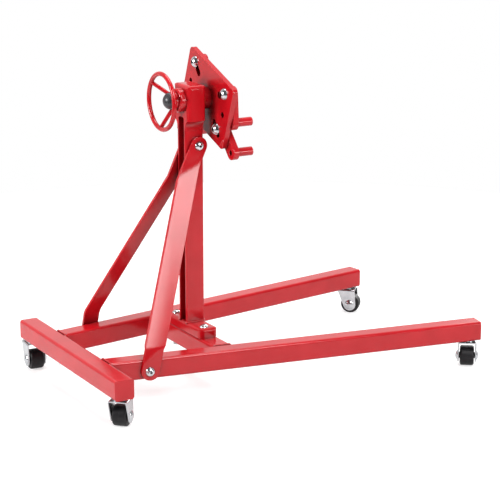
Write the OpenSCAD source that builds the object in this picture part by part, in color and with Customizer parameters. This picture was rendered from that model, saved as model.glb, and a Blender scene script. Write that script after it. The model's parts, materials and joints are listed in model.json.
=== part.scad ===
// Engine stand: a wheeled frame of square tube with a braced post, a head plate that a handwheel turns
// and four arms that reach out to the engine. Millimetres, Z up.
// The origin is on the floor under the middle of the frame. +X points from the handwheel to the arms.

/* [Frame] */
// Outside width of the square tube
tube_w = 50; // [46:0.5:54]
// Wall of the square tube
tube_wall = 3; // [2:0.25:4]
// Corner radius of the square tube
tube_r = 7; // [5:0.5:9]
// Length of the rear cross tube over its caps
cross_l = 570; // [540:1:620]
// Length of each rail along its axis, with its cap
rail_l = 994; // [900:1:1100]
// Angle that each rail opens outwards
rail_splay = 9.25; // [7:0.25:11]
// Distance of each rail from the middle where it meets the cross tube
rail_root_y = 133.5; // [125:0.5:145]
// Thickness of the end caps
cap_t = 3; // [2:0.5:5]
// Distance of the post from the rear face of the frame
post_x = 352; // [320:1:380]

/* [Casters] */
// Height of the tubes above the floor
caster_h = 73; // [70:0.5:80]
// Diameter of each wheel
wheel_d = 52; // [44:1:54]
// Width of each wheel
wheel_w = 36; // [28:1:38]
// Rounding of the wheel's shoulders
wheel_shoulder_r = 5; // [3:0.5:7]
// Distance from the swivel axis to the axle
caster_trail = 11; // [8:0.5:15]
// Distance of each swivel axis from the end of its tube
caster_inset = 26; // [22:1:32]
// Sheet thickness of the forks
fork_t = 3; // [2:0.25:4]
// Length of the fork's top
fork_l = 50; // [44:1:54]
// Width between the fork's cheeks
fork_inside = 42; // [40:0.5:46]
// Radius of the fork's cheeks around the axle
fork_eye_r = 17.5; // [15:0.5:19]
// Depth to which the cheeks' straight edges run into the round about the axle
eye_seat = 0.1; // [0.05:0.05:0.3]
// Bend radius on the outside of the fork
fork_bend_r = 5; // [4.5:0.25:7]
// Diameter of the axle
axle_d = 8; // [6:0.5:10]
// Diameter of the axle's domed ends
axle_dome_d = 27; // [20:1:28]
// Height of the axle's domed ends
axle_dome_h = 6; // [3:0.5:7]
// Diameter of the stem's thread
stem_d = 12; // [10:0.5:14]
// Diameter of the swivel pin
pin_d = 14; // [12:0.5:16]
// Diameter of the upper race
race_d = 38; // [32:1:44]
// Thickness of the upper race
race_t = 3; // [2:0.5:4]
// Diameter of the swivel pin's rivet head
rivet_d = 20; // [18:1:28]
// Height of the swivel pin's rivet head
rivet_h = 7; // [3:0.5:9]
// Heading of each trail at rest: rear left, rear right, front left, front right
caster_turn = [-95, 46, -43, 55]; // [-180:1:180]

/* [Post] */
// Size of the foot along the frame
foot_w = 52; // [48:1:60]
// Size of the foot across the frame
foot_l = 186; // [170:1:200]
// Thickness of the foot
foot_h = 25; // [20:1:32]
// Corner radius of the foot in plan
foot_r = 14; // [10:1:20]
// Rounding of the foot's upper edges
foot_edge_r = 8; // [4:0.5:9]
// Distance of each foot bolt from the middle
foot_bolt_y = 74; // [66:1:78]
// Distance of the foot bolts behind the middle of the post
foot_bolt_back = 5; // [0:0.5:8]
// Diameter of the foot bolts
foot_bolt_d = 12; // [10:0.5:14]
// Diameter of the foot bolts' heads
foot_head_d = 21; // [18:0.5:24]
// Height of the foot bolts' heads
foot_head_h = 7; // [6:0.5:9]
// Depth of the post's channel
post_d = 50; // [46:1:54]
// Width of the post's channel
post_w = 42; // [38:1:46]
// Wall of the post's channel
post_wall = 7; // [5:0.5:8]
// Corner radius of the post's channel
post_r = 3; // [2:0.25:3.25]
// Height of the spindle above the floor
axis_h = 713.5; // [660:0.5:760]

/* [Head housing] */
// Width of the housing
housing_w = 79; // [74:1:88]
// Height of the housing above the spindle
housing_above = 38.5; // [36:0.5:44]
// Depth of the housing below the spindle, down to its neck
housing_below = 47.5; // [44:0.5:54]
// Height of the neck
neck_h = 27; // [22:1:34]
// Width and height of the edge over the neck's hollow sides
neck_lip = 2; // [1:0.25:3]
// Rise of the rear slot into the neck and housing
slot_rise = 33; // [24:1:38]
// Corner radius at the top of the rear slot
slot_corner_r = 6; // [4:0.5:8]
// Rounding of the housing's edges
housing_r = 10; // [6:0.5:11]
// Diameter of the rear boss
boss_d = 60; // [54:1:66]
// Length of the rear boss
boss_l = 16; // [12:1:22]
// Rounding of the rear boss
boss_r = 5; // [3:0.5:7]
// Wall of the spindle bushes
bush_wall = 4; // [3:0.25:5]
// Length of the spindle bushes
bush_l = 20; // [14:1:26]
// Diameter of the spindle in its bushes
spindle_d = 32; // [28:0.5:36]
// Diameter of the spindle's rear end
spindle_end_d = 20; // [16:0.5:22]

/* [Handwheel] */
// Radius of the rim's middle line
rim_r = 68.5; // [60:0.5:76]
// Diameter of the rim's rod
rim_rod_d = 11.5; // [10.5:0.25:13]
// Distance of the rim behind the hub
rim_set = 25; // [20:0.25:28]
// Diameter of the spokes
spoke_d = 10; // [8:0.25:10.5]
// Heading of the first spoke at rest
spoke_turn = 37; // [0:1:119]
// Diameter of the hub
hub_d = 44; // [42:1:48]
// Thickness of the hub
hub_t = 12; // [11.5:0.25:14]
// Height of the spokes above the hub's rear face
spoke_height = 5.5; // [4.75:0.25:5.75]
// Depth of the spokes' seats in the hub
spoke_seat = 2.75; // [2:0.25:3]
// Diameter of the hub's cap
hub_cap_d = 40; // [39:0.25:41]
// Height of the hub's cap
hub_cap_h = 19.5; // [18:0.5:23]
// Height of the cap's straight side, under its dome
hub_cap_side = 7; // [5:0.25:9]
// Width over the flats of the spindle's nut
spindle_nut_af = 28; // [26:0.5:30]
// Thickness of the spindle's nut
spindle_nut_h = 8; // [7:0.5:9]
// Width of the key between hub and spindle
key_w = 6; // [5:0.5:8]
// Depth of the key in the spindle and in the hub
key_depth = 3; // [2:0.25:4]

/* [Head plate] */
// Length of the plate
plate_l = 236; // [226:1:260]
// Height of the plate
plate_h = 167; // [158:1:180]
// Thickness of the plate
plate_t = 13; // [10:0.5:16]
// Corner radius of the plate
plate_r = 11; // [8:1:20]
// Turn of the head at rest
head_turn = 20.7; // [0:0.1:45]
// Distance from the housing to the plate
plate_gap = 20.5; // [17:0.5:28]
// Diameter of the collar behind the plate
collar_d = 56; // [48:1:60]
// Thickness of the washer between housing and collar
washer_t = 2.5; // [2:0.25:4]
// Angle of the slots to the plate's length
slot_angle = 34; // [30:0.5:38]
// Radius at which the slots begin
slot_in = 60; // [56:0.5:64]
// Radius at which the slots end
slot_out = 110; // [108:0.5:114]
// Distance of the two round holes from the spindle
plate_hole_r = 88; // [84:1:94]
// Diameter of the two round holes
plate_hole_d = 14; // [10:0.5:16]

/* [Arms] */
// Length of each arm between its bolt and its finger
arm_l = 72; // [66:1:78]
// Width of each arm
arm_w = 36; // [32:0.5:38]
// Thickness of each arm
arm_t = 16; // [12:0.5:20]
// Diameter of each finger
finger_d = 22; // [20:0.5:26]
// Diameter of each finger's bore
finger_bore_d = 13; // [10:0.25:15]
// Length of each finger
finger_l = 43; // [36:1:54]
// Diameter of the arm bolts
arm_bolt_d = 16; // [14:0.5:18]
// Diameter of the arm bolts' heads
arm_head_d = 29; // [26:0.5:31]
// Height of the arm bolts' heads
arm_head_h = 10; // [8:0.5:11]
// Length of the arm bolts' ends in front of the arms
arm_bolt_end = 2; // [1:0.25:4]
// Radius of each arm bolt at rest: upper left, upper right, lower right, lower left
bolt_at = [100, 95, 87, 85]; // [69:1:101]
// Heading of each arm at rest, in the same order
arm_turn = [-105, -93.5, -133, -117]; // [-180:0.1:180]

/* [Braces] */
// Width of the brace bar
brace_w = 45; // [40:1:50]
// Thickness of the brace bar
brace_t = 8; // [6:0.5:10]
// Distance of the foot bolt along the rail
brace_along = 100; // [90:1:110]
// Height of the foot bolt above the underside of the rail
brace_up = 21; // [19:0.5:29]
// Height of the lower fold above the rail
brace_fold_up = 29; // [24:1:34]
// Distance of the lower fold in front of the foot bolt
brace_step = 11.5; // [8:0.5:16]
// Slope of the lower fold against the rail
brace_tilt = 6; // [0:0.5:10]
// Depth of the top bolt below the spindle
brace_drop = 113.5; // [108:0.5:125]
// Distance of the top bolt in front of the post's middle
brace_ahead = 10; // [6:0.5:10]
// Height of the top bolt above the upper fold
brace_tab = 68; // [60:1:76]
// Diameter of the brace bolts
brace_bolt_d = 12; // [10:0.5:13]
// Diameter of the brace bolts' heads
brace_head_d = 24; // [20:0.5:26]
// Height of the brace bolts' heads
brace_head_h = 8; // [6:0.5:9]

/* [Fits] */
// Radial clearance of the turning fits
run_fit = 0.05; // [0.03:0.01:0.08]
// Gap between flat faces that turn past each other
run_gap = 0.3; // [0.2:0.05:0.5]
// Radial clearance of the bolts in their holes
bolt_fit = 0.5; // [0.3:0.1:0.8]

/* [Fasteners] */
// Ratio of a nut's width over its corners to its thread
nut_corner_ratio = 1.8; // [1.7:0.05:1.9]
// Ratio of a nut's thickness to its thread
nut_height_ratio = 0.8; // [0.7:0.05:0.9]
// Ratio of a hex socket's width over its corners to the thread
socket_corner_ratio = 0.62; // [0.5:0.02:0.7]
// Ratio of a hex socket's floor to the head's height
socket_floor_ratio = 0.4; // [0.2:0.05:0.6]

/* [Hidden] */
$fn = 64;
// Overrun of every cut past the face that it leaves
past = 1;
// Reach of the cutting blocks, more than any bar is wide or high
far = rail_l;

overall_l = tube_w + rail_l * cos(rail_splay) + tube_w / 2 * sin(rail_splay);
x_rear = -overall_l / 2;
x_rails = x_rear + tube_w;
tube_z = caster_h + tube_w / 2;
frame_top = caster_h + tube_w;

foot_top = frame_top + foot_h;
foot_nut_h = foot_bolt_d * nut_height_ratio;
post_cx = x_rear + post_x;
foot_bolt_x = post_cx - foot_bolt_back;
post_inside = post_w - 2 * post_wall;
neck_bottom = axis_h - housing_below - neck_h;

housing_back = post_cx - post_d / 2;
housing_front = post_cx + post_d / 2;
boss_back = housing_back - boss_l;
bush_d = spindle_d + 2 * run_fit + 2 * bush_wall;

hub_front = boss_back - run_gap;
hub_back = hub_front - hub_t;
spoke_x = hub_back + spoke_height;
rim_x = hub_back - rim_set;
nut_back = hub_back - spindle_nut_h;
key_front = hub_front - run_gap;
key_back = hub_back + run_gap;
spoke_start_r = hub_d / 2 - spoke_seat;
spoke_lean = atan2(spoke_x - rim_x, rim_r - hub_d / 2);
spoke_l = (rim_r - spoke_start_r) / cos(spoke_lean);

washer_back = housing_front + run_gap;
collar_back = washer_back + washer_t;
plate_back = housing_front + plate_gap;
plate_front = plate_back + plate_t;
slot_w = arm_bolt_d + 2 * bolt_fit;
slot_turn = [slot_angle, 180 - slot_angle, 180 + slot_angle, -slot_angle];

arm_back = plate_front + run_gap;
arm_front = arm_back + arm_t;
bolt_front = arm_front + arm_bolt_end;

fork_outside = fork_inside + 2 * fork_t;
axle_z = wheel_d / 2;
fork_top = caster_h - race_t - run_gap;
fork_under = fork_top - fork_t;
front_stem_x = x_rails + (rail_l - caster_inset) * cos(rail_splay);
front_stem_y = rail_root_y + (rail_l - caster_inset) * sin(rail_splay);
rear_stem_x = x_rear + tube_w / 2;
rear_stem_y = cross_l / 2 - caster_inset;
stem_at = [[rear_stem_x, rear_stem_y], [rear_stem_x, -rear_stem_y], [front_stem_x, front_stem_y],
    [front_stem_x, -front_stem_y]];
stem_nut_h = stem_d * nut_height_ratio;

// Centre of the brace's foot bolt on the left rail's outer face
brace_foot = [x_rails + brace_along * cos(rail_splay) - tube_w / 2 * sin(rail_splay),
    rail_root_y + brace_along * sin(rail_splay) + tube_w / 2 * cos(rail_splay), caster_h + brace_up];
// Centre of the brace's top bolt on the post's left face
brace_top = [post_cx + brace_ahead, post_w / 2, axis_h - brace_drop];
// Middle of the lower fold on the left rail's outer face
fold_low = [brace_foot[0] + brace_step, brace_foot[1] + brace_step * tan(rail_splay),
    frame_top + brace_fold_up];
leg_run = brace_top[0] - fold_low[0];
leg_rise = brace_top[2] - fold_low[2];
// Middle of the upper fold on the post's left face
fold_top = [brace_top[0] - brace_tab * leg_run / leg_rise, post_w / 2, brace_top[2] - brace_tab];
fold_dx = fold_top[0] - fold_low[0];
fold_dy = fold_top[1] - fold_low[1];
fold_dz = fold_top[2] - fold_low[2];
// Lean of the leg from the rail's face, about the sloping lower fold
fold_in = fold_dx * sin(rail_splay) - fold_dy * cos(rail_splay);
fold_along = fold_dx * cos(rail_splay) + fold_dy * sin(rail_splay);
brace_lean = atan2(fold_in, fold_dz * cos(brace_tilt) - fold_along * sin(brace_tilt));
brace_nut_h = brace_bolt_d * nut_height_ratio;

// Rounded rectangle about the origin
module rrect(w, h, r) {
    square([w - 2 * r, h], center = true);
    square([w, h - 2 * r], center = true);
    for (sx = [-1, 1], sy = [-1, 1]) {
        translate([sx * (w / 2 - r), sy * (h / 2 - r)]) circle(r);
    }
}

// Rectangle that stands on the first axis with its two upper corners rounded
module arched(w, h, r) {
    translate([-w / 2, 0]) square([w, h - r]);
    translate([-(w / 2 - r), 0]) square([w - 2 * r, h]);
    for (s = [-1, 1]) {
        translate([s * (w / 2 - r), h - r]) circle(r);
    }
}

// Strip with full round ends, from the origin along the first axis
module strip(l, w) {
    translate([0, -w / 2]) square([l, w]);
    circle(w / 2);
    translate([l, 0]) circle(w / 2);
}

// Outline in Y and Z, drawn out along X
module along_x(l) {
    rotate([90, 0, 90]) linear_extrude(l) children();
}

// Outline in X and Z, drawn out along Y to both sides
module along_y(l) {
    rotate([90, 0, 0]) linear_extrude(l, center = true) children();
}

// Round bar along X
module bar_x(d, x0, x1) {
    translate([x0, 0, 0]) rotate([0, 90, 0]) cylinder(d = d, h = x1 - x0);
}

// Dome on the floor of its own frame
module dome(d, h) {
    r = (d * d / 4 + h * h) / (2 * h);
    rotate_extrude() intersection() {
        translate([0, h - r]) circle(r, $fn = 360);
        square([d / 2, h]);
    }
}

// Bolt along -Z under a domed head with a hex socket
module button_bolt(d, l, head_d, head_h) {
    difference() {
        dome(head_d, head_h);
        translate([0, 0, head_h * socket_floor_ratio])
            cylinder(d = d * socket_corner_ratio, h = head_h, $fn = 6);
    }
    translate([0, 0, -l]) cylinder(d = d, h = l);
}

// Hex nut on the floor of its own frame
module hex_nut(d, h) {
    difference() {
        cylinder(d = d * nut_corner_ratio, h = h, $fn = 6);
        translate([0, 0, -past]) cylinder(d = d, h = h + 2 * past);
    }
}

module tube_outline() {
    difference() {
        rrect(tube_w, tube_w, tube_r);
        rrect(tube_w - 2 * tube_wall, tube_w - 2 * tube_wall, tube_r - tube_wall);
    }
}

// Frame of a rail: local X runs along its axis. Side 1 is left and -1 is right.
module at_rail(side) {
    translate([x_rails, side * rail_root_y, tube_z]) rotate([0, 0, side * rail_splay]) children();
}

// Frame of a foot bolt of the brace: local Z points out of the rail's outer face
module at_brace_foot(side) {
    translate([brace_foot[0], side * brace_foot[1], brace_foot[2]]) rotate([0, 0, side * rail_splay])
        rotate([-side * 90, 0, 0]) children();
}

module at_stem(i) {
    translate([stem_at[i][0], stem_at[i][1], 0]) children();
}

module at_caster(i) {
    at_stem(i) rotate([0, 0, caster_turn[i]]) children();
}

// Frame of an arm bolt on the turned plate
module at_bolt(i) {
    translate([0, 0, axis_h]) rotate([head_turn + slot_turn[i], 0, 0])
        translate([0, bolt_at[i], 0]) children();
}

// Frame of an arm: local Y runs from its bolt to its finger
module at_arm(i) {
    at_bolt(i) rotate([arm_turn[i] - head_turn - slot_turn[i], 0, 0]) children();
}

module rail(side) {
    color("firebrick") difference() {
        at_rail(side) translate([-tube_w, 0, 0]) along_x(rail_l - cap_t + tube_w) tube_outline();
        translate([x_rails - 2 * tube_w, -cross_l, 0]) cube([2 * tube_w, 2 * cross_l, frame_top + past]);
        at_brace_foot(side) translate([0, 0, -tube_wall - past])
            cylinder(r = brace_bolt_d / 2 + bolt_fit, h = tube_wall + 2 * past);
        at_rail(side) translate([rail_l - caster_inset, 0, -tube_w / 2 - past])
            cylinder(r = stem_d / 2 + bolt_fit, h = tube_wall + 2 * past);
    }
}

module rear_cross_tube() {
    color("firebrick") difference() {
        translate([rear_stem_x, cap_t - cross_l / 2, tube_z]) rotate([0, 0, 90])
            along_x(cross_l - 2 * cap_t) tube_outline();
        for (i = [0, 1]) {
            at_stem(i) translate([0, 0, caster_h - past])
                cylinder(r = stem_d / 2 + bolt_fit, h = tube_wall + 2 * past);
        }
    }
}

module left_rail() {
    rail(1);
}

module right_rail() {
    rail(-1);
}

module post_crossmember() {
    color("firebrick") difference() {
        translate([post_cx, -cross_l / 2, tube_z]) rotate([0, 0, 90]) along_x(cross_l) tube_outline();
        at_rail(1) translate([0, -tube_w / 2, -tube_w]) cube([rail_l, far, 2 * tube_w]);
        at_rail(-1) translate([0, tube_w / 2 - far, -tube_w]) cube([rail_l, far, 2 * tube_w]);
        for (s = [-1, 1]) {
            translate([foot_bolt_x, s * foot_bolt_y, caster_h - past])
                cylinder(r = foot_bolt_d / 2 + bolt_fit, h = tube_w + 2 * past);
        }
    }
}

module tube_end_caps() {
    color("firebrick") {
        for (s = [-1, 1]) {
            at_rail(s) translate([rail_l - cap_t, 0, 0]) along_x(cap_t) rrect(tube_w, tube_w, tube_r);
            translate([rear_stem_x, s * (cross_l / 2 - cap_t / 2) - cap_t / 2, tube_z]) rotate([0, 0, 90])
                along_x(cap_t) rrect(tube_w, tube_w, tube_r);
        }
    }
}

module post_foot() {
    color("firebrick") translate([post_cx, 0, frame_top]) difference() {
        intersection() {
            linear_extrude(foot_h) rrect(foot_w, foot_l, foot_r);
            translate([-foot_w / 2, 0, 0]) along_x(foot_w) arched(foot_l, foot_h, foot_edge_r);
            along_y(foot_l) arched(foot_w, foot_h, foot_edge_r);
        }
        for (s = [-1, 1]) {
            translate([-foot_bolt_back, s * foot_bolt_y, -past])
                cylinder(r = foot_bolt_d / 2 + bolt_fit, h = foot_h + 2 * past);
        }
    }
}

module foot_bolts() {
    color("silver") for (s = [-1, 1]) {
        translate([foot_bolt_x, s * foot_bolt_y, foot_top])
            button_bolt(foot_bolt_d, foot_top - caster_h + foot_nut_h, foot_head_d, foot_head_h);
    }
}

module foot_nuts() {
    color("silver") for (s = [-1, 1]) {
        translate([foot_bolt_x, s * foot_bolt_y, caster_h - foot_nut_h]) hex_nut(foot_bolt_d, foot_nut_h);
    }
}

module post_channel() {
    color("firebrick") difference() {
        translate([post_cx, 0, foot_top]) linear_extrude(neck_bottom - foot_top) difference() {
            rrect(post_d, post_w, post_r);
            translate([-post_d / 2 - past, -post_inside / 2])
                square([post_d - post_wall + past, post_inside]);
        }
        translate([brace_top[0], 0, brace_top[2]]) rotate([90, 0, 0])
            cylinder(r = brace_bolt_d / 2 + bolt_fit, h = post_w + 2 * past, center = true);
    }
}

module head_housing() {
    housing_h = housing_above + housing_below + neck_h;
    lip_z = neck_h - neck_lip;
    cove_r = (housing_w - post_w) / 2 - neck_lip;
    cove_y = post_w / 2 + cove_r;
    cove_z = lip_z - cove_r;
    color("firebrick") translate([0, 0, axis_h]) difference() {
        union() {
            translate([post_cx, 0, -housing_below - neck_h]) intersection() {
                linear_extrude(housing_h) rrect(post_d, housing_w, housing_r);
                along_y(housing_w) arched(post_d, housing_h, housing_r);
                translate([-post_d / 2, 0, 0]) along_x(post_d) {
                    translate([0, lip_z]) arched(housing_w, housing_h - lip_z, housing_r);
                    difference() {
                        translate([-cove_y, 0]) square([2 * cove_y, lip_z + past]);
                        for (s = [-1, 1]) {
                            translate([s * cove_y, cove_z]) circle(cove_r);
                            translate([s * cove_y - cove_r, -past]) square([2 * cove_r, cove_z + past]);
                        }
                    }
                }
            }
            translate([housing_back, 0, 0]) rotate([0, -90, 0]) rotate_extrude() {
                square([boss_d / 2, boss_l - boss_r]);
                square([boss_d / 2 - boss_r, boss_l]);
                translate([boss_d / 2 - boss_r, boss_l - boss_r]) circle(boss_r);
            }
        }
        bar_x(bush_d, boss_back - past, housing_front + past);
        translate([housing_back - past, 0, -housing_below - neck_h - past])
            along_x(post_d - post_wall + past) arched(post_inside, slot_rise + past, slot_corner_r);
    }
}

module bush(x0) {
    color("goldenrod") translate([0, 0, axis_h]) difference() {
        bar_x(bush_d, x0, x0 + bush_l);
        bar_x(spindle_d + 2 * run_fit, x0 - past, x0 + bush_l + past);
    }
}

module front_bush() {
    bush(housing_front - bush_l);
}

module rear_bush() {
    bush(boss_back);
}

// Side view of the straight run of a brace from point a to point b
module brace_run(a, b) {
    run = b[0] - a[0];
    rise = b[2] - a[2];
    translate([a[0], a[2]]) rotate(atan2(rise, run)) strip(norm([run, rise]), brace_w);
}

// Frame of the lower fold: local X runs along the fold and local Y points out of the rail
module at_fold() {
    translate(fold_low) rotate([0, -brace_tilt, rail_splay]) children();
}

// Left brace: the foot lies on the rail, the leg leans in to the post and the tab lies on the post
module brace() {
    bend = brace_t * tan(brace_lean / 2);
    reach = [-2 * far * sin(brace_lean), 2 * far * cos(brace_lean)];
    color("firebrick") difference() {
        intersection() {
            translate([0, far / 2, 0]) along_y(far) {
                brace_run(brace_foot, fold_low);
                brace_run(fold_low, brace_top);
            }
            union() {
                intersection() {
                    at_fold() translate([-far, 0, 0]) along_x(2 * far)
                        polygon([[0, 0], [0, -far], [brace_t, -far], [brace_t, bend],
                            [brace_t, bend] + reach, reach]);
                    translate([-far, post_w / 2, 0]) cube([2 * far, far, 2 * far]);
                }
                intersection() {
                    translate([-far, post_w / 2, 0]) cube([2 * far, brace_t, 2 * far]);
                    at_fold() rotate([brace_lean, 0, 0]) translate([-far, 0, -far])
                        cube([2 * far, 2 * far, 3 * far]);
                }
            }
        }
        at_brace_foot(1) translate([0, 0, -past])
            cylinder(r = brace_bolt_d / 2 + bolt_fit, h = brace_t + 2 * past);
        translate([brace_top[0], post_w / 2 - past, brace_top[2]]) rotate([-90, 0, 0])
            cylinder(r = brace_bolt_d / 2 + bolt_fit, h = brace_t + 2 * past);
    }
}

module left_brace() {
    brace();
}

module right_brace() {
    mirror([0, 1, 0]) brace();
}

module brace_foot_bolts() {
    color("silver") for (s = [-1, 1]) {
        at_brace_foot(s) translate([0, 0, brace_t])
            button_bolt(brace_bolt_d, brace_t + tube_wall + brace_nut_h, brace_head_d, brace_head_h);
    }
}

module brace_foot_nuts() {
    color("silver") for (s = [-1, 1]) {
        at_brace_foot(s) translate([0, 0, -tube_wall - brace_nut_h]) hex_nut(brace_bolt_d, brace_nut_h);
    }
}

module brace_top_bolt() {
    color("silver") translate([brace_top[0], -post_w / 2 - brace_t, brace_top[2]]) rotate([90, 0, 0])
        button_bolt(brace_bolt_d, post_w + 2 * brace_t + brace_nut_h, brace_head_d, brace_head_h);
}

module brace_top_nut() {
    color("silver") translate([brace_top[0], post_w / 2 + brace_t, brace_top[2]]) rotate([-90, 0, 0])
        hex_nut(brace_bolt_d, brace_nut_h);
}

module caster_stems() {
    color("silver") for (i = [0 : 3]) {
        at_stem(i) {
            translate([0, 0, caster_h - race_t]) cylinder(d = race_d, h = race_t);
            translate([0, 0, caster_h]) cylinder(d = stem_d, h = tube_wall + stem_nut_h);
            translate([0, 0, fork_under - run_gap])
                cylinder(d = pin_d, h = caster_h - fork_under + run_gap);
            translate([0, 0, fork_under - run_gap]) mirror([0, 0, 1]) dome(rivet_d, rivet_h);
        }
    }
}

module caster_stem_nuts() {
    color("silver") for (i = [0 : 3]) {
        at_stem(i) translate([0, 0, caster_h + tube_wall]) hex_nut(stem_d, stem_nut_h);
    }
}

module spindle() {
    color("gray") translate([0, 0, axis_h]) difference() {
        union() {
            bar_x(spindle_d, hub_front, plate_front);
            bar_x(spindle_end_d, nut_back, hub_front);
        }
        key_seat();
    }
}

module thrust_washer() {
    color("goldenrod") translate([0, 0, axis_h]) difference() {
        bar_x(collar_d, washer_back, collar_back);
        bar_x(spindle_d, washer_back - past, collar_back + past);
    }
}

module plate_collar() {
    color("firebrick") translate([0, 0, axis_h]) difference() {
        bar_x(collar_d, collar_back, plate_back);
        bar_x(spindle_d, collar_back - past, plate_back + past);
    }
}

module mounting_plate() {
    color("firebrick") translate([plate_back, 0, axis_h]) rotate([head_turn, 0, 0])
        along_x(plate_t) difference() {
            rrect(plate_l, plate_h, plate_r);
            circle(d = spindle_d);
            for (a = slot_turn) {
                rotate(a) translate([slot_in + slot_w / 2, 0]) strip(slot_out - slot_in - slot_w, slot_w);
            }
            for (s = [-1, 1]) {
                translate([s * plate_hole_r, 0]) circle(d = plate_hole_d);
            }
        }
}

// Three round spokes, from the hub's edge out to the middle of the rim
module spokes() {
    translate([0, 0, axis_h]) for (k = [0 : 2]) {
        rotate([spoke_turn + 120 * k, 0, 0]) translate([rim_x, rim_r, 0]) rotate([0, 0, spoke_lean])
            rotate([90, 0, 0]) cylinder(d = spoke_d, h = spoke_l);
    }
}

module handwheel_rim() {
    color("firebrick") difference() {
        translate([rim_x, 0, axis_h]) rotate([0, 90, 0]) rotate_extrude() translate([rim_r, 0])
            circle(d = rim_rod_d);
        spokes();
    }
}

module handwheel_spokes() {
    color("firebrick") spokes();
}

module handwheel_hub() {
    color("firebrick") difference() {
        translate([0, 0, axis_h]) difference() {
            bar_x(hub_d, hub_back, hub_front);
            bar_x(spindle_end_d, hub_back - past, hub_front + past);
            key_seat();
        }
        spokes();
    }
}

// Space that the key fills, half in the spindle and half in the hub
module key_seat() {
    translate([key_back, -key_w / 2, spindle_end_d / 2 - key_depth])
        cube([key_front - key_back, key_w, 2 * key_depth]);
}

module handwheel_key() {
    color("gray") translate([0, 0, axis_h]) key_seat();
}

module spindle_nut() {
    color("silver") translate([nut_back, 0, axis_h]) rotate([0, 90, 0]) difference() {
        cylinder(d = spindle_nut_af / cos(30), h = spindle_nut_h, $fn = 6);
        translate([0, 0, -past]) cylinder(d = spindle_end_d, h = spindle_nut_h + 2 * past);
    }
}

module hub_cap() {
    color("dimgray") translate([hub_back, 0, axis_h]) rotate([0, -90, 0]) difference() {
        union() {
            cylinder(d = hub_cap_d, h = hub_cap_side);
            translate([0, 0, hub_cap_side]) dome(hub_cap_d, hub_cap_h - hub_cap_side);
        }
        translate([0, 0, -past])
            cylinder(r = spindle_nut_af / 2 / cos(30) + run_gap, h = spindle_nut_h + run_gap + past);
    }
}

module arm_bolt(i) {
    color("silver") at_bolt(i) translate([plate_back, 0, 0]) rotate([0, -90, 0])
        button_bolt(arm_bolt_d, bolt_front - plate_back, arm_head_d, arm_head_h);
}

module arm(i) {
    color("firebrick") at_arm(i) translate([arm_back, 0, 0]) along_x(arm_t) difference() {
        strip(arm_l, arm_w);
        circle(r = arm_bolt_d / 2 + run_fit);
        translate([arm_l, 0]) circle(d = finger_bore_d);
    }
}

module finger(i) {
    color("firebrick") at_arm(i) translate([arm_front, arm_l, 0]) along_x(finger_l) difference() {
        circle(d = finger_d);
        circle(d = finger_bore_d);
    }
}

module upper_left_bolt() {
    arm_bolt(0);
}

module upper_left_arm() {
    arm(0);
}

module upper_left_finger() {
    finger(0);
}

module upper_right_bolt() {
    arm_bolt(1);
}

module upper_right_arm() {
    arm(1);
}

module upper_right_finger() {
    finger(1);
}

module lower_right_bolt() {
    arm_bolt(2);
}

module lower_right_arm() {
    arm(2);
}

module lower_right_finger() {
    finger(2);
}

module lower_left_bolt() {
    arm_bolt(3);
}

module lower_left_arm() {
    arm(3);
}

module lower_left_finger() {
    finger(3);
}

// Point where a line from p touches the circle of radius r about c, on side s
function touch(p, c, r, s) =
    let (d = norm(p - c), a = atan2(p[1] - c[1], p[0] - c[0]) + s * acos(r / d))
    c + r * [cos(a), sin(a)];

// Fork of folded sheet: a flat top and two cheeks that narrow down to the axle. Local X is the trail.
module fork(i) {
    eye = [caster_trail, axle_z];
    run_r = fork_eye_r - eye_seat;
    front = [fork_l / 2, fork_top];
    back = [-fork_l / 2, fork_top];
    color("silver") at_caster(i) difference() {
        intersection() {
            along_y(fork_outside) {
                translate(eye) circle(fork_eye_r);
                polygon([front, back, touch(back, eye, run_r, 1), touch(front, eye, run_r, -1)]);
            }
            translate([-fork_l, 0, 0]) along_x(2 * fork_l) difference() {
                arched(fork_outside, fork_top, fork_bend_r);
                arched(fork_inside, fork_under, fork_bend_r - fork_t);
            }
        }
        translate([0, 0, fork_under - past]) cylinder(r = pin_d / 2 + run_fit, h = fork_t + 2 * past);
        translate([caster_trail, 0, axle_z]) rotate([90, 0, 0])
            cylinder(d = axle_d, h = fork_outside + 2 * past, center = true);
    }
}

module axle(i) {
    color("silver") at_caster(i) translate([caster_trail, 0, axle_z]) {
        rotate([90, 0, 0]) cylinder(d = axle_d, h = fork_outside, center = true);
        for (s = [-1, 1]) {
            translate([0, s * fork_outside / 2, 0]) rotate([-s * 90, 0, 0]) dome(axle_dome_d, axle_dome_h);
        }
    }
}

module wheel(i) {
    hub_half = fork_inside / 2 - 2 * run_gap;
    color("dimgray") at_caster(i) translate([caster_trail, 0, axle_z]) rotate([90, 0, 0]) rotate_extrude() {
        translate([axle_d / 2 + run_fit, -hub_half]) square([axle_d / 2, 2 * hub_half]);
        translate([axle_d, -wheel_w / 2]) square([wheel_d / 2 - wheel_shoulder_r - axle_d, wheel_w]);
        translate([axle_d, wheel_shoulder_r - wheel_w / 2])
            square([wheel_d / 2 - axle_d, wheel_w - 2 * wheel_shoulder_r]);
        for (s = [-1, 1]) {
            translate([wheel_d / 2 - wheel_shoulder_r, s * (wheel_w / 2 - wheel_shoulder_r)])
                circle(wheel_shoulder_r);
        }
    }
}

module rear_left_fork() {
    fork(0);
}

module rear_left_axle() {
    axle(0);
}

module rear_left_wheel() {
    wheel(0);
}

module rear_right_fork() {
    fork(1);
}

module rear_right_axle() {
    axle(1);
}

module rear_right_wheel() {
    wheel(1);
}

module front_left_fork() {
    fork(2);
}

module front_left_axle() {
    axle(2);
}

module front_left_wheel() {
    wheel(2);
}

module front_right_fork() {
    fork(3);
}

module front_right_axle() {
    axle(3);
}

module front_right_wheel() {
    wheel(3);
}

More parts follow.
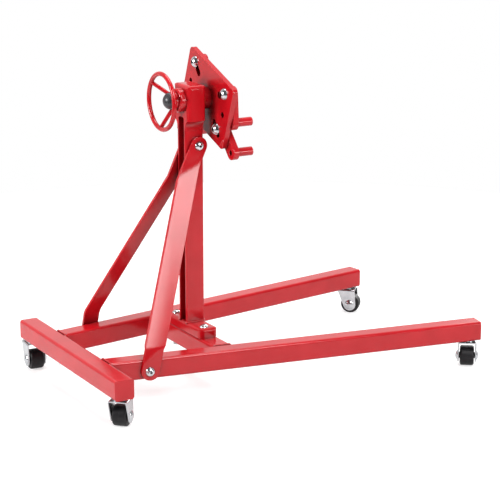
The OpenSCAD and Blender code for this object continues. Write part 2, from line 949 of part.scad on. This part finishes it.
rear_cross_tube();
left_rail();
right_rail();
post_crossmember();
tube_end_caps();
post_foot();
foot_bolts();
foot_nuts();
post_channel();
head_housing();
front_bush();
rear_bush();
left_brace();
right_brace();
brace_foot_bolts();
brace_foot_nuts();
brace_top_bolt();
brace_top_nut();
caster_stems();
caster_stem_nuts();
spindle();
thrust_washer();
plate_collar();
mounting_plate();
handwheel_rim();
handwheel_spokes();
handwheel_hub();
handwheel_key();
spindle_nut();
hub_cap();
upper_left_bolt();
upper_left_arm();
upper_left_finger();
upper_right_bolt();
upper_right_arm();
upper_right_finger();
lower_right_bolt();
lower_right_arm();
lower_right_finger();
lower_left_bolt();
lower_left_arm();
lower_left_finger();
rear_left_fork();
rear_left_axle();
rear_left_wheel();
rear_right_fork();
rear_right_axle();
rear_right_wheel();
front_left_fork();
front_left_axle();
front_left_wheel();
front_right_fork();
front_right_axle();
front_right_wheel();
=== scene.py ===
import json
import math

import bmesh
import bpy
from mathutils import Matrix, Vector


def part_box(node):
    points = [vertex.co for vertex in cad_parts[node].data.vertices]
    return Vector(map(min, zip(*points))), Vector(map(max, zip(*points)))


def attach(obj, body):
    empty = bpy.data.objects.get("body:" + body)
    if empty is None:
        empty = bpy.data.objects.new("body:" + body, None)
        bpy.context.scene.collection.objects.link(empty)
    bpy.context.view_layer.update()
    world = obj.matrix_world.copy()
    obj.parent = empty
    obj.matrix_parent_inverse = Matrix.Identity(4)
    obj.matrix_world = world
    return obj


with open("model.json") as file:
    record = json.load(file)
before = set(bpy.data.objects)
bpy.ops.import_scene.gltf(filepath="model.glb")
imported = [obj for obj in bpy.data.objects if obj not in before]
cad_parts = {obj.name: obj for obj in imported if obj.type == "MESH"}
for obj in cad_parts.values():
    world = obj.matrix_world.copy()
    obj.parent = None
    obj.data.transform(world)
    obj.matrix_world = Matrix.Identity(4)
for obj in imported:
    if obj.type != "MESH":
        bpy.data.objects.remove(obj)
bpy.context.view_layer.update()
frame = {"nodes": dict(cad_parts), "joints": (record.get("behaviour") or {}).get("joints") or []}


# Base frame: a rear cross tube, two splayed rails, a crossmember under the post and four end caps.
# Square steel tube, cut and welded, then powder coated in one smooth glossy red.
nodes = frame["nodes"]
coat_red = (0.56, 0.0075, 0.0145, 1.0)
coat_red_deep = (0.48, 0.0045, 0.0095, 1.0)
# Painted shade: the red is darkened by occlusion in gaps, slots and corners narrower than about this
# reach.
crevice_shade_reach = 0.03


def new_material(name):
    """Material with one principled shader, its node tree, and the object's own coordinates."""
    material = bpy.data.materials.new(name)
    material.use_nodes = True
    tree = material.node_tree
    shader = tree.nodes["Principled BSDF"]
    place = tree.nodes.new("ShaderNodeTexCoord").outputs["Object"]
    return material, tree, shader, place


def noise(tree, place, scale, detail=2.0):
    """Noise of about `scale` patches in a metre."""
    grain = tree.nodes.new("ShaderNodeTexNoise")
    grain.inputs["Scale"].default_value = scale
    grain.inputs["Detail"].default_value = detail
    tree.links.new(place, grain.inputs["Vector"])
    return grain.outputs["Fac"]


def between(tree, factor, low, high, start=0.0, end=1.0):
    """Number that runs from low to high while the factor runs from start to end."""
    spread = tree.nodes.new("ShaderNodeMapRange")
    for name, value in (("From Min", start), ("From Max", end), ("To Min", low)):
        spread.inputs[name].default_value = value
    if isinstance(high, float):
        spread.inputs["To Max"].default_value = high
    else:
        tree.links.new(high, spread.inputs["To Max"])
    tree.links.new(factor, spread.inputs["Value"])
    return spread.outputs["Result"]


def blend_colour(tree, factor, first, second, start=0.3, end=0.7):
    """Colour that runs from first to second while the factor runs from start to end."""
    ramp = tree.nodes.new("ShaderNodeValToRGB")
    ramp.color_ramp.elements[0].position = start
    ramp.color_ramp.elements[0].color = first
    ramp.color_ramp.elements[1].position = end
    ramp.color_ramp.elements[1].color = second
    tree.links.new(factor, ramp.inputs["Fac"])
    return ramp.outputs["Color"]


def bump(tree, shader, height, strength, depth):
    """Relief of the given depth in metres on the shader's normal."""
    relief = tree.nodes.new("ShaderNodeBump")
    relief.inputs["Strength"].default_value = strength
    relief.inputs["Distance"].default_value = depth
    tree.links.new(height, relief.inputs["Height"])
    tree.links.new(relief.outputs["Normal"], shader.inputs["Normal"])


def painted_recess_shade(tree, colour, reach):
    """Painted shade: colour darkened by occlusion in crevices and holes narrower than about the reach.
    """
    recess = tree.nodes.new("ShaderNodeAmbientOcclusion")
    recess.inputs["Distance"].default_value = reach
    tree.links.new(colour, recess.inputs["Color"])
    return recess.outputs["Color"]


def red_coat():
    """Glossy powder coat with a faint orange peel, a slightly uneven colour and painted shade in its
    crevices.
    """
    material, tree, shader, place = new_material("red_powder_coat")
    drift = noise(tree, place, scale=14.0, detail=3.0)
    coat = blend_colour(tree, drift, coat_red_deep, coat_red)
    gloss = between(tree, noise(tree, place, scale=60.0), low=0.14, high=0.22)
    tree.links.new(painted_recess_shade(tree, coat, crevice_shade_reach), shader.inputs["Base Color"])
    tree.links.new(gloss, shader.inputs["Roughness"])
    bump(tree, shader, noise(tree, place, scale=420.0, detail=1.0), strength=0.12, depth=0.0002)
    return material


def finish(node, material):
    """Gives a node of the frame one material."""
    data = nodes[node].data
    data.materials.clear()
    data.materials.append(material)


red = red_coat()
for part in ("rear_cross_tube", "left_rail", "right_rail", "post_crossmember", "tube_end_caps"):
    finish(part, red)


# Weld beads of the base: the rails end on the cross tube and the crossmember ends on the rails.
# Low rounded beads with the faint ripples of the weld pool, under the same red coat.
bead_radius = 0.0024
bead_sides = 10
bead_ripple = 0.0001
ripple_pitch = 0.0036
ripple_points = 3
ripple_phase = 0.6
end_thickness = 0.35
end_points = 4
steep = 0.9


def new_piece(name, mesh, material, body):
    """Object from a bmesh, smooth shaded, painted and riding on a body."""
    data = bpy.data.meshes.new(name)
    bmesh.ops.recalc_face_normals(mesh, faces=mesh.faces)
    for face in mesh.faces:
        face.smooth = True
    mesh.to_mesh(data)
    mesh.free()
    data.materials.append(material)
    piece = bpy.data.objects.new(name, data)
    bpy.context.scene.collection.objects.link(piece)
    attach(piece, body)


def spaced(corners, step, closed):
    """Points about one step apart along the straight runs between the corners."""
    ends = corners[1:] + corners[:1] if closed else corners[1:]
    path = []
    for start, end in zip(corners, ends):
        count = max(1, round((end - start).length / step))
        path += [start.lerp(end, k / count) for k in range(count)]
    if not closed:
        path.append(corners[-1])
    return path


def weld_bead(name, corners, body, closed=False, radius=bead_radius):
    """Rippled round bead along the corners, closed on itself or with tapered ends."""
    path = spaced(corners, ripple_pitch / ripple_points, closed)
    count = len(path)
    turns = [2 * math.pi * n / bead_sides for n in range(bead_sides)]
    mesh = bmesh.new()
    rings = []
    for k, point in enumerate(path):
        before = path[k - 1] if closed or k else path[k]
        after = path[(k + 1) % count] if closed or k < count - 1 else path[k]
        ahead = (after - before).normalized()
        side = ahead.orthogonal().normalized()
        if abs(ahead.z) < steep:
            side = ahead.cross(Vector((0, 0, 1))).normalized()
        up = side.cross(ahead)
        size = radius + bead_ripple * math.sin(2 * math.pi * k / ripple_points + ripple_phase)
        if not closed:
            size *= min(1.0, end_thickness + min(k, count - 1 - k) / end_points)
        section = [point + size * (math.cos(t) * side + math.sin(t) * up) for t in turns]
        rings.append([mesh.verts.new(corner) for corner in section])
    followers = rings[1:] + rings[:1] if closed else rings[1:]
    for first, second in zip(rings, followers):
        for n in range(bead_sides):
            m = (n + 1) % bead_sides
            mesh.faces.new((first[n], first[m], second[m], second[n]))
    if not closed:
        mesh.faces.new(rings[0])
        mesh.faces.new(rings[-1])
    new_piece(name, mesh, red, body)


def rounded_loop(half_a, half_b, radius, steps=5):
    """Corner points of a rounded rectangle about the origin, anticlockwise."""
    loop = []
    for sign_a, sign_b, first in ((1, 1, 0), (-1, 1, 90), (-1, -1, 180), (1, -1, 270)):
        for k in range(steps + 1):
            turn = math.radians(first + 90 * k / steps)
            loop.append((sign_a * (half_a - radius) + radius * math.cos(turn),
                         sign_b * (half_b - radius) + radius * math.sin(turn)))
    return loop


rail_splay = math.radians(9.25)
rail_root = 0.1335
tube_corner = 0.007
cross_low, cross_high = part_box("rear_cross_tube")
rail_face = cross_high.x
tube_middle = (cross_high.z + cross_low.z) / 2
half_tube = (cross_high.x - cross_low.x) / 2
rail_half = half_tube / math.cos(rail_splay)
for side, part in ((1, "left"), (-1, "right")):
    loop = rounded_loop(rail_half, half_tube, tube_corner)
    corners = [Vector((rail_face, side * rail_root + a, tube_middle + b)) for a, b in loop]
    weld_bead(f"{part}_rail_weld", corners, "frame", closed=True)

post_low, post_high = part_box("post_channel")
post_x = (post_low.x + post_high.x) / 2
for side, part in ((1, "left"), (-1, "right")):
    corners = []
    for a, b in rounded_loop(half_tube, half_tube, tube_corner):
        x = post_x + a
        inner = rail_root - rail_half + (x - rail_face) * math.tan(rail_splay)
        corners.append(Vector((x, side * inner, tube_middle + b)))
    weld_bead(f"{part}_crossmember_weld", corners, "frame", closed=True)


# Post: a cast foot bolted to the crossmember and an upright channel, open to the rear.
# The channel is welded to the foot around its walls and runs flush into the housing, all coated red.
channel_edge = 0.0008
join_gap = 1e-6
flat_angle = 0.5
edge_segments = 3


def soften(node, width, angle=40.0):
    """Rounds a node's sharp edges by the given width, as paint and deburring do."""
    piece = nodes[node]
    join = piece.modifiers.new("join", "WELD")
    join.merge_threshold = join_gap
    flat = piece.modifiers.new("flat", "DECIMATE")
    flat.decimate_type = "DISSOLVE"
    flat.angle_limit = math.radians(flat_angle)
    edge = piece.modifiers.new("edge", "BEVEL")
    edge.width = width
    edge.segments = edge_segments
    edge.limit_method = "ANGLE"
    edge.angle_limit = math.radians(angle)
    edge.miter_outer = "MITER_ARC"
    shade = piece.modifiers.new("shade", "WEIGHTED_NORMAL")
    shade.keep_sharp = False


for part in ("post_foot", "post_channel", "head_housing"):
    finish(part, red)
soften("post_channel", channel_edge)

post_bead = 0.003
post_wall = 0.007
half_deep = (post_high.x - post_low.x) / 2
half_wide = (post_high.y - post_low.y) / 2
flange = half_wide - post_wall
loop = rounded_loop(half_deep, half_wide, post_bead)
rear = len(loop) // 2
loop = [(-half_deep, -flange)] + loop[rear:] + loop[:rear] + [(-half_deep, flange)]
corners = [Vector((post_x + a, b, post_low.z)) for a, b in loop]
weld_bead("post_foot_weld", corners, "frame", radius=post_bead)


# Bolts and nuts of the foot and the braces: domed heads with a hex socket, plain hex nuts.
# Steel with bright zinc plating, slightly uneven in gloss and never quite mirror smooth.
zinc_light = (0.74, 0.75, 0.77, 1.0)
zinc_dull = (0.58, 0.59, 0.62, 1.0)
# Painted shade: the plating is darkened by occlusion in hex sockets and gaps narrower than about this
# reach.
socket_shade_reach = 0.012
nut_edge = 0.0007


def zinc_plate():
    """Bright plating: metal with a soft cloudy tone, fine scratches in its gloss and painted shade that
    darkens its sockets and narrow gaps.
    """
    material, tree, shader, place = new_material("bright_zinc_plate")
    cloud = noise(tree, place, scale=130.0, detail=3.0)
    plating = blend_colour(tree, cloud, zinc_dull, zinc_light)
    gloss = between(tree, noise(tree, place, scale=900.0), low=0.14, high=0.3)
    tree.links.new(painted_recess_shade(tree, plating, socket_shade_reach), shader.inputs["Base Color"])
    tree.links.new(gloss, shader.inputs["Roughness"])
    bump(tree, shader, noise(tree, place, scale=700.0, detail=2.0), strength=0.1, depth=0.0001)
    shader.inputs["Metallic"].default_value = 1.0
    return material


zinc = zinc_plate()
for part in ("foot_bolts", "brace_foot_bolts", "brace_top_bolt"):
    finish(part, zinc)
for part in ("foot_nuts", "brace_foot_nuts", "brace_top_nut"):
    finish(part, zinc)
    soften(part, nut_edge)


# Spindle bushes and thrust washer: plain turned rings that carry the spindle in the housing.
# Bearing brass with fine turning marks around the spindle's axis.
brass_light = (0.66, 0.47, 0.2, 1.0)
brass_dark = (0.5, 0.33, 0.12, 1.0)
brass_rough = 0.24
rough_spread = 0.14
joint = {j["name"]: j for j in frame["joints"]}
spindle_centre = joint["head_turn"]["pos_m"]


def turned_metal(name, light, dark, rough):
    """Metal with fine rings from the lathe about the spindle's axis."""
    material, tree, shader, place = new_material(name)
    centre = tree.nodes.new("ShaderNodeVectorMath")
    centre.operation = "SUBTRACT"
    centre.inputs[1].default_value = spindle_centre
    tree.links.new(place, centre.inputs[0])
    rings = tree.nodes.new("ShaderNodeTexWave")
    rings.wave_type = "RINGS"
    rings.rings_direction = "X"
    rings.inputs["Scale"].default_value = 260.0
    rings.inputs["Distortion"].default_value = 0.6
    tree.links.new(centre.outputs["Vector"], rings.inputs["Vector"])
    tone = blend_colour(tree, noise(tree, place, scale=90.0), dark, light)
    gloss = between(tree, rings.outputs["Fac"], low=rough, high=rough + rough_spread)
    tree.links.new(tone, shader.inputs["Base Color"])
    tree.links.new(gloss, shader.inputs["Roughness"])
    bump(tree, shader, rings.outputs["Fac"], strength=0.15, depth=0.0001)
    shader.inputs["Metallic"].default_value = 1.0
    return material


brass = turned_metal("turned_bearing_brass", brass_light, brass_dark, brass_rough)
for part in ("front_bush", "rear_bush", "thrust_washer"):
    finish(part, brass)


# Braces: two flat bars, folded twice, that run from the rails up to the sides of the post.
# Hot rolled flat steel with rounded ends and softly rolled edges, coated red.
brace_edge = 0.0014
brace_fold = 50.0
for part in ("left_brace", "right_brace"):
    finish(part, red)
    soften(part, brace_edge, angle=brace_fold)


# Casters: a riveted stem with its race, a fork folded from sheet, a domed axle and a solid wheel.
# Chromed forks and axles, zinc plated stems, and wheels of black rubber with a fine parting line.
chrome_light = (0.62, 0.63, 0.65, 1.0)
chrome_dark = (0.52, 0.53, 0.55, 1.0)
rubber_black = (0.006, 0.0055, 0.0065, 1.0)
rubber_worn = (0.014, 0.013, 0.015, 1.0)
rubber_shine = 0.3
fork_edge = 0.0006
parting_wide = 0.0008
parting_high = 0.0003
ring_turns = 72


def chrome_plate():
    """Plated sheet: bright, with the slight waviness of the pressing."""
    material, tree, shader, place = new_material("chromed_sheet")
    cloud = noise(tree, place, scale=55.0, detail=2.0)
    gloss = between(tree, noise(tree, place, scale=300.0), low=0.16, high=0.28)
    tree.links.new(blend_colour(tree, cloud, chrome_dark, chrome_light), shader.inputs["Base Color"])
    tree.links.new(gloss, shader.inputs["Roughness"])
    bump(tree, shader, noise(tree, place, scale=120.0, detail=1.0), strength=0.1, depth=0.0003)
    shader.inputs["Metallic"].default_value = 1.0
    return material


def wheel_rubber():
    """Moulded rubber: fine grain, patches of wear and a satin skin."""
    material, tree, shader, place = new_material("moulded_wheel_rubber")
    wear = noise(tree, place, scale=70.0, detail=4.0)
    tree.links.new(blend_colour(tree, wear, rubber_black, rubber_worn), shader.inputs["Base Color"])
    tree.links.new(between(tree, wear, low=0.34, high=0.52), shader.inputs["Roughness"])
    bump(tree, shader, noise(tree, place, scale=1500.0, detail=2.0), strength=0.2, depth=0.0002)
    shader.inputs["Specular IOR Level"].default_value = rubber_shine
    return material


def ring(name, centre, axis, profile, material, body):
    """Closed ring: a profile of (radius, height) pairs turned about an axis."""
    spin = Vector(axis).normalized().to_track_quat("Z", "Y").to_matrix().to_4x4()
    place = Matrix.Translation(Vector(centre)) @ spin
    mesh = bmesh.new()
    rows = []
    for k in range(ring_turns):
        turn = 2 * math.pi * k / ring_turns
        row = [place @ Vector((r * math.cos(turn), r * math.sin(turn), h)) for r, h in profile]
        rows.append([mesh.verts.new(corner) for corner in row])
    for first, second in zip(rows, rows[1:] + rows[:1]):
        for n in range(len(profile)):
            m = (n + 1) % len(profile)
            mesh.faces.new((first[n], first[m], second[m], second[n]))
    new_piece(name, mesh, material, body)


chrome = chrome_plate()
rubber = wheel_rubber()
finish("caster_stems", zinc)
finish("caster_stem_nuts", zinc)
for corner in ("rear_left", "rear_right", "front_left", "front_right"):
    finish(f"{corner}_fork", chrome)
    soften(f"{corner}_fork", fork_edge)
    finish(f"{corner}_axle", chrome)
    finish(f"{corner}_wheel", rubber)
    roll = joint[f"{corner}_wheel_roll"]
    radius = roll["pos_m"][2]
    half = parting_wide / 2
    profile = [(radius - parting_high, -half), (radius + parting_high, -half / 3),
               (radius + parting_high, half / 3), (radius - parting_high, half)]
    ring(f"{corner}_wheel_parting_line", roll["pos_m"], roll["axis"], profile, rubber,
         f"{corner}_roller")


# Turning head: a steel spindle with a welded collar and the slotted plate on its front end.
# Plate and collar are coated red; the spindle and the key are bare turned steel.
steel_light = (0.56, 0.56, 0.58, 1.0)
steel_dark = (0.4, 0.4, 0.42, 1.0)
steel_rough = 0.22
plate_edge = 0.0016
steel = turned_metal("turned_spindle_steel", steel_light, steel_dark, steel_rough)
for part in ("spindle", "handwheel_key"):
    finish(part, steel)
for part in ("plate_collar", "mounting_plate"):
    finish(part, red)
soften("mounting_plate", plate_edge)


# Handwheel: a round rod bent into a rim, three slanted spokes and a keyed hub under a black cap.
# Rim, spokes and hub are brazed together and coated red; the cap is moulded plastic.
cap_black = (0.022, 0.022, 0.025, 1.0)
cap_grey = (0.05, 0.05, 0.055, 1.0)
hub_edge = 0.0012


def cap_plastic():
    """Moulded plastic: a fine spark-eroded grain and a soft gloss."""
    material, tree, shader, place = new_material("moulded_cap_plastic")
    tone = blend_colour(tree, noise(tree, place, scale=40.0), cap_black, cap_grey)
    gloss = between(tree, noise(tree, place, scale=200.0), low=0.26, high=0.4)
    tree.links.new(tone, shader.inputs["Base Color"])
    tree.links.new(gloss, shader.inputs["Roughness"])
    bump(tree, shader, noise(tree, place, scale=1200.0, detail=1.0), strength=0.12, depth=0.0001)
    return material


for part in ("handwheel_rim", "handwheel_spokes", "handwheel_hub"):
    finish(part, red)
soften("handwheel_hub", hub_edge)
finish("spindle_nut", zinc)
finish("hub_cap", cap_plastic())


# Arms: four flat bars with round ends, each on a bolt in a slot of the plate and with a bored finger.
# Flame cut bar and thick tube, welded with a small hollow fillet, coated red; the bolts are zinc plated.
arm_edge = 0.0016
finger_edge = 0.0012
finger_fillet = 0.003
fillet_root = 0.0002
fillet_steps = 4


def fillet_ring(name, centre, axis, radius, leg, body):
    """Hollow weld fillet in the corner between a round bar and the face that it stands on."""
    arc = [math.radians(180 + 90 * k / fillet_steps) for k in range(fillet_steps + 1)]
    hollow = [(radius + leg + leg * math.cos(t), leg + leg * math.sin(t)) for t in arc]
    inside = radius - fillet_root
    profile = hollow + [(radius + leg, -fillet_root), (inside, -fillet_root), (inside, leg)]
    ring(name, centre, axis, profile, red, body)


for corner in ("upper_left", "upper_right", "lower_right", "lower_left"):
    finish(f"{corner}_bolt", zinc)
    finish(f"{corner}_arm", red)
    soften(f"{corner}_arm", arm_edge)
    finish(f"{corner}_finger", red)
    soften(f"{corner}_finger", finger_edge)
    finger_low, finger_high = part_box(f"{corner}_finger")
    seat = (finger_low.x, (finger_low.y + finger_high.y) / 2, (finger_low.z + finger_high.z) / 2)
    finger_radius = (finger_high.y - finger_low.y) / 2
    fillet_ring(f"{corner}_finger_weld", seat, (1, 0, 0), finger_radius, finger_fillet,
                f"{corner}_swing_arm")


# Studio: a round pale floor, a white surround that is dim towards the rear right, and soft lamps.
# The floor shows white to the camera and keeps the stand's soft shadow.
floor_radius = 2.2
floor_sides = 96
floor_white = (0.6, 0.6, 0.6, 1.0)
floor_rough = 0.9
floor_glow = 0.6
floor_shine = 0.35
white = (1.0, 1.0, 1.0, 1.0)
surround_light = 0.22
surround_shine = 1.0
dim_direction = (-0.492, -0.87, 0.0)
dim_shine = 0.08
dim_start = -1.0
dim_end = 0.3


def larger(tree, first, second):
    """The larger of two numbers."""
    most = tree.nodes.new("ShaderNodeMath")
    most.operation = "MAXIMUM"
    tree.links.new(first, most.inputs[0])
    tree.links.new(second, most.inputs[1])
    return most.outputs["Value"]


def any_ray(tree, *kinds):
    """1 for rays of the named kinds, 0 for the light that falls on the object."""
    path = tree.nodes.new("ShaderNodeLightPath")
    total = path.outputs[kinds[0]]
    for other in kinds[1:]:
        total = larger(tree, total, path.outputs[other])
    return total


def studio_floor():
    """Matt white floor that glows a little where it is looked at."""
    material, tree, shader, _ = new_material("pale_studio_floor")
    shader.inputs["Base Color"].default_value = floor_white
    shader.inputs["Roughness"].default_value = floor_rough
    shader.inputs["Specular IOR Level"].default_value = 0.0
    shader.inputs["Emission Color"].default_value = white
    mirrored = between(tree, any_ray(tree, "Is Glossy Ray"), low=0.0, high=floor_shine)
    looked_at = any_ray(tree, "Is Camera Ray", "Is Transmission Ray")
    seen = between(tree, looked_at, low=0.0, high=floor_glow)
    tree.links.new(larger(tree, mirrored, seen), shader.inputs["Emission Strength"])
    return material


mesh = bmesh.new()
bmesh.ops.create_circle(mesh, cap_ends=True, segments=floor_sides, radius=floor_radius)
data = bpy.data.meshes.new("studio_floor")
mesh.to_mesh(data)
mesh.free()
data.materials.append(studio_floor())
floor = bpy.data.objects.new("studio_floor", data)
bpy.context.scene.collection.objects.link(floor)

world = bpy.data.worlds.new("studio")
bpy.context.scene.world = world
world.use_nodes = True
sky_tree = world.node_tree
sky = sky_tree.nodes["Background"]
sky.inputs["Color"].default_value = white
facing = sky_tree.nodes.new("ShaderNodeVectorMath")
facing.operation = "DOT_PRODUCT"
facing.inputs[1].default_value = dim_direction
sky_tree.links.new(sky_tree.nodes.new("ShaderNodeTexCoord").outputs["Generated"], facing.inputs[0])
mirrored = between(sky_tree, facing.outputs["Value"], surround_shine, dim_shine, dim_start, dim_end)
lit = between(sky_tree, any_ray(sky_tree, "Is Glossy Ray"), surround_light, mirrored)
shown = any_ray(sky_tree, "Is Camera Ray", "Is Transmission Ray")
sky_tree.links.new(larger(sky_tree, lit, shown), sky.inputs["Strength"])


def soft_lamp(name, place, size, power):
    """Square area lamp that faces the middle of the stand."""
    light = bpy.data.lights.new(name, "AREA")
    light.size = size
    light.energy = power
    lamp = bpy.data.objects.new(name, light)
    lamp.location = place
    lamp.rotation_euler = (Vector(lamp_target) - Vector(place)).to_track_quat("-Z", "Y").to_euler()
    bpy.context.scene.collection.objects.link(lamp)


lamp_target = (0.0, 0.0, 0.3)
soft_lamp("rear_lamp", (-3.2, 0.5, 1.5), size=1.2, power=88.0)
soft_lamp("top_lamp", (0.2, 0.4, 3.2), size=1.6, power=45.0)
soft_lamp("side_lamp", (0.1, -3.03, 2.93), size=1.8, power=105.0)
soft_lamp("edge_lamp", (1.9, -3.4, 1.1), size=0.8, power=24.0)
soft_lamp("front_lamp", (3.2, 1.9, 1.5), size=1.6, power=60.0)


# Camera: a long lens behind the stand's right side, a little above the head.
# Its place, turn and focal length were solved from the straight edges of the frame.
camera_place = (-2.1957, -3.8837, 1.4696)
camera_turn = (75.409, 0.0, -29.532)
camera_lens = 129.5
camera_sensor = 36.0
camera_data = bpy.data.cameras.new("camera")
camera_data.lens = camera_lens
camera_data.sensor_width = camera_sensor
camera = bpy.data.objects.new("camera", camera_data)
camera.location = camera_place
camera.rotation_euler = [math.radians(a) for a in camera_turn]
bpy.context.scene.collection.objects.link(camera)
bpy.context.scene.camera = camera
bpy.context.scene.view_settings.view_transform = "Standard"
